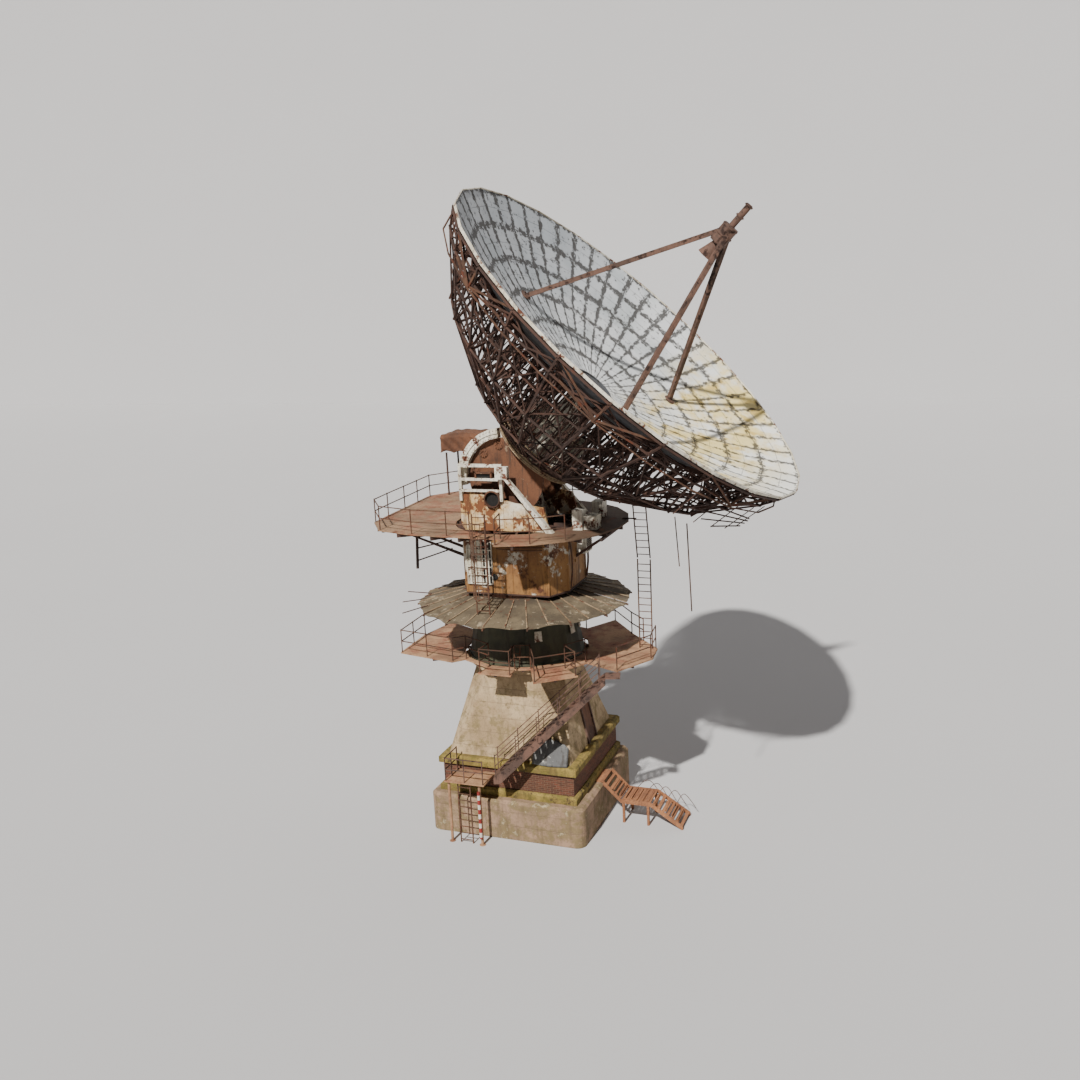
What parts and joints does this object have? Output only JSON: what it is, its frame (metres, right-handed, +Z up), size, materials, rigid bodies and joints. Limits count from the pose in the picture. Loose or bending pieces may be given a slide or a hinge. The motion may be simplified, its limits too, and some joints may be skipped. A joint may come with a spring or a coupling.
{
  "type": "satellite dish",
  "caption": "Large steerable dish antenna with feed tripod on a rotating cabin turret, drum and concrete tower, with access decks, ladders, stair and ramp.",
  "frame": {"origin": "on the ground under the foundation block, on the azimuth axis", "axes": "+Z up; +X is the way the dish points at rest; the elevation axis runs along Y"},
  "size_m": [18.0896, 17.3996, 26.566],
  "materials": {
    "concrete": "rough weathered concrete",
    "mossy_cornice": "mossy ochre render",
    "brick": "dark red brick",
    "deck_plate": "rusted orange deck plate",
    "dark_green_paint": "dark green paint, faded",
    "white_paint": "dirty white paint with rust",
    "skirt_sheet": "grey-olive sheet with rust",
    "cabin_sheet": "rusted sheet",
    "ramp_wood": "weathered timber",
    "reflector": "white painted panels with grime",
    "hub_beige": "beige paint with rust",
    "machined_steel": "greased steel",
    "rusty_steel": "dark brown rusted steel"
  },
  "bodies": {
    "base": {"foundation_block": "concrete", "plinth_cornices": "mossy_cornice", "plinth_brick_course": "brick", "concrete_tower": "concrete", "tower_cap_slab": "concrete", "lower_deck_beams": "rusty_steel", "lower_deck_plates": "deck_plate", "lower_deck_railing": "rusty_steel", "drum_wall_panels": "dark_green_paint", "drum_windows": "white_paint", "king_tube": "machined_steel", "azimuth_ring_gear": "machined_steel", "azimuth_bearing_ring": "machined_steel", "fixed_ladders": "rusty_steel", "stair_landing": "deck_plate", "stair_stringers": "rusty_steel", "stair_treads": "rusty_steel", "stair_railing": "rusty_steel", "ramp_beams": "ramp_wood", "ramp_boards": "ramp_wood", "ramp_trestles": "ramp_wood"},
    "turret": {"turntable": "rusty_steel", "azimuth_motor": "rusty_steel", "turret_column_panels": "rusty_steel", "skirt_ribs": "rusty_steel", "skirt_panels": "skirt_sheet", "cabin_floor_and_roof": "rusty_steel", "cabin_corner_posts": "cabin_sheet", "cabin_wall_panels": "cabin_sheet", "cabin_ladder": "rusty_steel", "upper_deck_beams": "rusty_steel", "upper_deck_plates": "deck_plate", "upper_deck_struts": "rusty_steel", "upper_deck_railing": "rusty_steel", "canopy_posts": "rusty_steel", "canopy_roof": "rusty_steel", "hanging_ladder": "rusty_steel", "bearing_pedestals": "white_paint", "side_casings": "white_paint", "side_frame": "white_paint", "drive_braces": "white_paint", "equipment_cabinets": "white_paint", "elevation_motor": "rusty_steel"},
    "dish": {"trunnion_shaft": "machined_steel", "tilt_cheeks": "rusty_steel", "rim_arches": "white_paint", "elevation_gear": "machined_steel", "hub_ring": "hub_beige", "hub_cabinets": "white_paint", "rib_chords": "rusty_steel", "rib_struts": "rusty_steel", "hoop_bars": "rusty_steel", "reflector_panels": "reflector", "feed_legs": "rusty_steel", "feed_box": "rusty_steel", "feed_horn": "rusty_steel"},
    "azimuth_pinion_body": {"azimuth_pinion": "machined_steel"},
    "elevation_pinion_body": {"elevation_pinion": "machined_steel"},
    "drum_door_leaf": {"drum_door": "dark_green_paint"},
    "cabin_door_leaf": {"cabin_door": "cabin_sheet"}
  },
  "joints": [
    {"name": "azimuth_turn", "type": "hinge", "parent": "base", "child": "turret", "pos_m": [0, 0, 9.3], "axis": [0, 0, 1], "range_deg": [-270, 270]},
    {"name": "elevation_tilt", "type": "hinge", "parent": "turret", "child": "dish", "pos_m": [0, 0, 15.1], "axis": [0, -1, 0], "range_deg": [-8, 44]},
    {"name": "azimuth_pinion_spin", "type": "hinge", "parent": "turret", "child": "azimuth_pinion_body", "pos_m": [-1.03213, -0.72271, 9.1], "axis": [0, 0, 1], "range_deg": [-1351, 1351]},
    {"name": "elevation_pinion_spin", "type": "hinge", "parent": "turret", "child": "elevation_pinion_body", "pos_m": [-0.27089, 0, 13.5637], "axis": [0, -1, 0], "range_deg": [-202, 37]},
    {"name": "drum_door_swing", "type": "hinge", "parent": "base", "child": "drum_door_leaf", "pos_m": [0.093, -2.44, 7.25], "axis": [0, 0.1767, 0.9843], "range_deg": [0, 95]},
    {"name": "cabin_door_swing", "type": "hinge", "parent": "turret", "child": "cabin_door_leaf", "pos_m": [2.444, -0.952, 10.4], "axis": [0, 0, 1], "range_deg": [-100, 0]}
  ],
  "couplings": [
    {"joint": "azimuth_pinion_spin", "follows": "azimuth_turn", "ratio": 5},
    {"joint": "elevation_pinion_spin", "follows": "elevation_tilt", "ratio": -4.5714}
  ]
}
